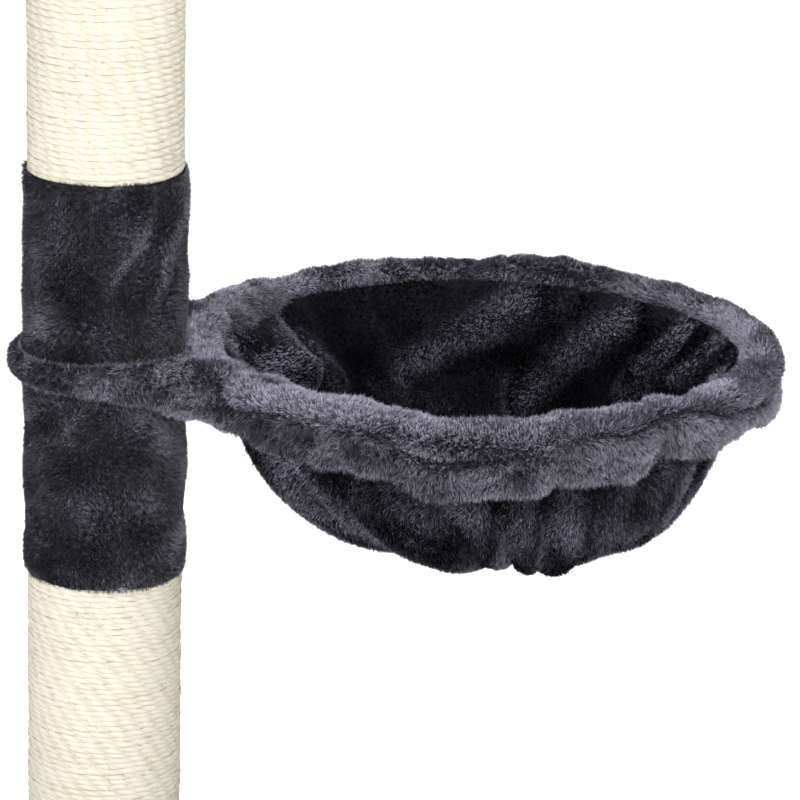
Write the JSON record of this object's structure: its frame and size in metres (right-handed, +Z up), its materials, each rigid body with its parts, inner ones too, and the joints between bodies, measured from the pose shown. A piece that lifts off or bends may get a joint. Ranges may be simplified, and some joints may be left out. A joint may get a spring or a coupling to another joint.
{
  "type": "cat tree",
  "caption": "Free-standing cat tree: rope-wound post with a plush sleeve and a round plush bowl hammock that slides and swings on the post.",
  "frame": {"origin": "centre of the base's underside, on the floor", "axes": "+Z up along the post, +X from the post towards the hammock at rest"},
  "size_m": [0.8565, 0.5814, 1.1375],
  "materials": {
    "plush": "dark slate grey long-pile plush",
    "sisal_rope": "cream twisted sisal rope, wound tight",
    "chipboard": "raw chipboard",
    "cardboard_tube": "spiral-wound paper tube",
    "liner_felt": "thin black non-woven",
    "zinc_steel": "zinc-plated steel",
    "grip_rubber": "matt black rubber",
    "wadding": "white polyester wadding"
  },
  "bodies": {
    "stand": {"base_board": "chipboard", "base_plush_cover": "plush", "base_underside_liner": "liner_felt", "base_bolt": "zinc_steel", "base_washer": "zinc_steel", "lower_end_plug": "chipboard", "lower_thread_insert": "zinc_steel", "lower_plug_nail_1": "zinc_steel", "lower_plug_nail_2": "zinc_steel", "lower_plug_nail_3": "zinc_steel", "upper_end_plug": "chipboard", "upper_thread_insert": "zinc_steel", "upper_plug_nail_1": "zinc_steel", "upper_plug_nail_2": "zinc_steel", "upper_plug_nail_3": "zinc_steel", "post_tube": "cardboard_tube", "lower_sisal_winding": "sisal_rope", "plush_sleeve": "plush", "upper_sisal_winding": "sisal_rope", "cap_t_nut": "zinc_steel", "top_cap_board": "chipboard", "top_stud": "zinc_steel", "top_cap_cover": "plush"},
    "grip": {"grip_ring": "grip_rubber"},
    "hammock": {"loop_wire": "zinc_steel", "hoop_wire": "zinc_steel", "brace_front": "zinc_steel", "brace_back": "zinc_steel", "tie_plate_top": "zinc_steel", "tie_plate_bottom": "zinc_steel", "loop_cover": "plush", "rim_cover": "plush", "rim_ruffle": "plush", "neck_gusset_front": "plush", "neck_gusset_back": "plush", "bowl_outer": "plush", "bowl_padding": "wadding", "bowl_lining": "plush"}
  },
  "joints": [
    {"name": "hammock_slide", "type": "slide", "parent": "stand", "child": "grip", "axis": [0, 0, 1], "range_m": [-0.15, 0.15]},
    {"name": "hammock_swivel", "type": "hinge", "parent": "grip", "child": "hammock", "pos_m": [-0.1, 0, 0.627], "axis": [0, 0, 1], "continuous": true}
  ]
}
